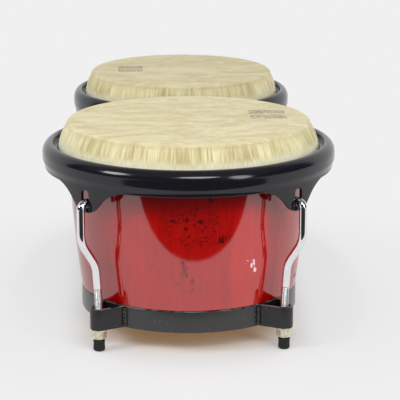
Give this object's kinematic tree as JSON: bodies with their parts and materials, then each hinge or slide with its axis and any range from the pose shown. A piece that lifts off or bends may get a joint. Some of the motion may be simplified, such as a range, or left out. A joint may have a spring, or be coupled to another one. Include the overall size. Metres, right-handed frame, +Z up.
{
  "type": "bongo drums",
  "caption": "Pair of joined hand drums of unequal width: tapered red wooden shells, black steel rims with slotted ears, cranked hook rods and a ring base on small rubber-capped feet.",
  "frame": {"origin": "on the floor under the middle of the pair's box, with the rubber caps standing on z = 0", "axes": "+Z up, +Y from the large drum (hembra) to the small drum (macho), +X to the right when looking along +Y"},
  "size_m": [0.2624, 0.4915, 0.19],
  "materials": {
    "red_lacquered_wood": "gloss red lacquer outside, plain wood inside",
    "drum_head_film": "fibrous cream film",
    "hoop_metal": "plain",
    "gloss_black_steel": "gloss black powder coat",
    "satin_black_steel": "satin black powder coat",
    "zinc_washer": "yellow zinc plate",
    "yellow_zinc_nut": "yellow zinc plate",
    "chrome_rod": "chrome plate",
    "black_rubber": "matt",
    "block_wood": "red lacquer",
    "bolt_steel": "zinc plate"
  },
  "bodies": {
    "drums": {"centre_block": "block_wood", "block_bolts": "bolt_steel", "block_plate_washers": "bolt_steel", "block_nuts": "bolt_steel", "hembra_shell": "red_lacquered_wood", "hembra_head_skin": "drum_head_film", "hembra_bottom_ring": "satin_black_steel", "hembra_lug_bracket_1": "satin_black_steel", "hembra_lug_bracket_2": "satin_black_steel", "hembra_lug_bracket_3": "satin_black_steel", "hembra_lug_bracket_4": "satin_black_steel", "hembra_nut_washer_1": "zinc_washer", "hembra_nut_washer_2": "zinc_washer", "hembra_nut_washer_3": "zinc_washer", "hembra_nut_washer_4": "zinc_washer", "macho_shell": "red_lacquered_wood", "macho_head_skin": "drum_head_film", "macho_bottom_ring": "satin_black_steel", "macho_lug_bracket_1": "satin_black_steel", "macho_lug_bracket_2": "satin_black_steel", "macho_lug_bracket_3": "satin_black_steel", "macho_lug_bracket_4": "satin_black_steel", "macho_nut_washer_1": "zinc_washer", "macho_nut_washer_2": "zinc_washer", "macho_nut_washer_3": "zinc_washer", "macho_nut_washer_4": "zinc_washer"},
    "hembra_tuning": {"hembra_rim": "gloss_black_steel", "hembra_flesh_hoop": "hoop_metal", "hembra_tuning_rod_1": "chrome_rod", "hembra_tuning_rod_2": "chrome_rod", "hembra_tuning_rod_3": "chrome_rod", "hembra_tuning_rod_4": "chrome_rod", "hembra_rubber_cap_1": "black_rubber", "hembra_rubber_cap_2": "black_rubber", "hembra_rubber_cap_3": "black_rubber", "hembra_rubber_cap_4": "black_rubber"},
    "hembra_nut_1": {"hembra_tuning_nut_1": "yellow_zinc_nut"},
    "hembra_nut_2": {"hembra_tuning_nut_2": "yellow_zinc_nut"},
    "hembra_nut_3": {"hembra_tuning_nut_3": "yellow_zinc_nut"},
    "hembra_nut_4": {"hembra_tuning_nut_4": "yellow_zinc_nut"},
    "macho_tuning": {"macho_rim": "gloss_black_steel", "macho_flesh_hoop": "hoop_metal", "macho_tuning_rod_1": "chrome_rod", "macho_tuning_rod_2": "chrome_rod", "macho_tuning_rod_3": "chrome_rod", "macho_tuning_rod_4": "chrome_rod", "macho_rubber_cap_1": "black_rubber", "macho_rubber_cap_2": "black_rubber", "macho_rubber_cap_3": "black_rubber", "macho_rubber_cap_4": "black_rubber"},
    "macho_nut_1": {"macho_tuning_nut_1": "yellow_zinc_nut"},
    "macho_nut_2": {"macho_tuning_nut_2": "yellow_zinc_nut"},
    "macho_nut_3": {"macho_tuning_nut_3": "yellow_zinc_nut"},
    "macho_nut_4": {"macho_tuning_nut_4": "yellow_zinc_nut"}
  },
  "joints": [
    {"name": "hembra_tension_slide", "type": "slide", "parent": "drums", "child": "hembra_tuning", "axis": [0, 0, 1], "range_m": [-0.004, 0.0008]},
    {"name": "hembra_nut_1_turn", "type": "hinge", "parent": "drums", "child": "hembra_nut_1", "pos_m": [0.08119, -0.03329, 0.015], "axis": [0, 0, 1], "range_deg": [-230.5, 1152.1]},
    {"name": "hembra_nut_2_turn", "type": "hinge", "parent": "drums", "child": "hembra_nut_2", "pos_m": [-0.08119, -0.03329, 0.015], "axis": [0, 0, 1], "range_deg": [-230.5, 1152.1]},
    {"name": "hembra_nut_3_turn", "type": "hinge", "parent": "drums", "child": "hembra_nut_3", "pos_m": [-0.08119, -0.19567, 0.015], "axis": [0, 0, 1], "range_deg": [-230.5, 1152.1]},
    {"name": "hembra_nut_4_turn", "type": "hinge", "parent": "drums", "child": "hembra_nut_4", "pos_m": [0.08119, -0.19567, 0.015], "axis": [0, 0, 1], "range_deg": [-230.5, 1152.1]},
    {"name": "macho_tension_slide", "type": "slide", "parent": "drums", "child": "macho_tuning", "axis": [0, 0, 1], "range_m": [-0.004, 0.0008]},
    {"name": "macho_nut_1_turn", "type": "hinge", "parent": "drums", "child": "macho_nut_1", "pos_m": [0.07016, 0.20561, 0.015], "axis": [0, 0, 1], "range_deg": [-230.5, 1152.1]},
    {"name": "macho_nut_2_turn", "type": "hinge", "parent": "drums", "child": "macho_nut_2", "pos_m": [-0.07016, 0.20561, 0.015], "axis": [0, 0, 1], "range_deg": [-230.5, 1152.1]},
    {"name": "macho_nut_3_turn", "type": "hinge", "parent": "drums", "child": "macho_nut_3", "pos_m": [-0.07016, 0.0653, 0.015], "axis": [0, 0, 1], "range_deg": [-230.5, 1152.1]},
    {"name": "macho_nut_4_turn", "type": "hinge", "parent": "drums", "child": "macho_nut_4", "pos_m": [0.07016, 0.0653, 0.015], "axis": [0, 0, 1], "range_deg": [-230.5, 1152.1]}
  ],
  "couplings": [
    {"joint": "hembra_nut_1_turn", "follows": "hembra_tension_slide", "rad_per_m": -5026.5},
    {"joint": "hembra_nut_2_turn", "follows": "hembra_tension_slide", "rad_per_m": -5026.5},
    {"joint": "hembra_nut_3_turn", "follows": "hembra_tension_slide", "rad_per_m": -5026.5},
    {"joint": "hembra_nut_4_turn", "follows": "hembra_tension_slide", "rad_per_m": -5026.5},
    {"joint": "macho_nut_1_turn", "follows": "macho_tension_slide", "rad_per_m": -5026.5},
    {"joint": "macho_nut_2_turn", "follows": "macho_tension_slide", "rad_per_m": -5026.5},
    {"joint": "macho_nut_3_turn", "follows": "macho_tension_slide", "rad_per_m": -5026.5},
    {"joint": "macho_nut_4_turn", "follows": "macho_tension_slide", "rad_per_m": -5026.5}
  ]
}
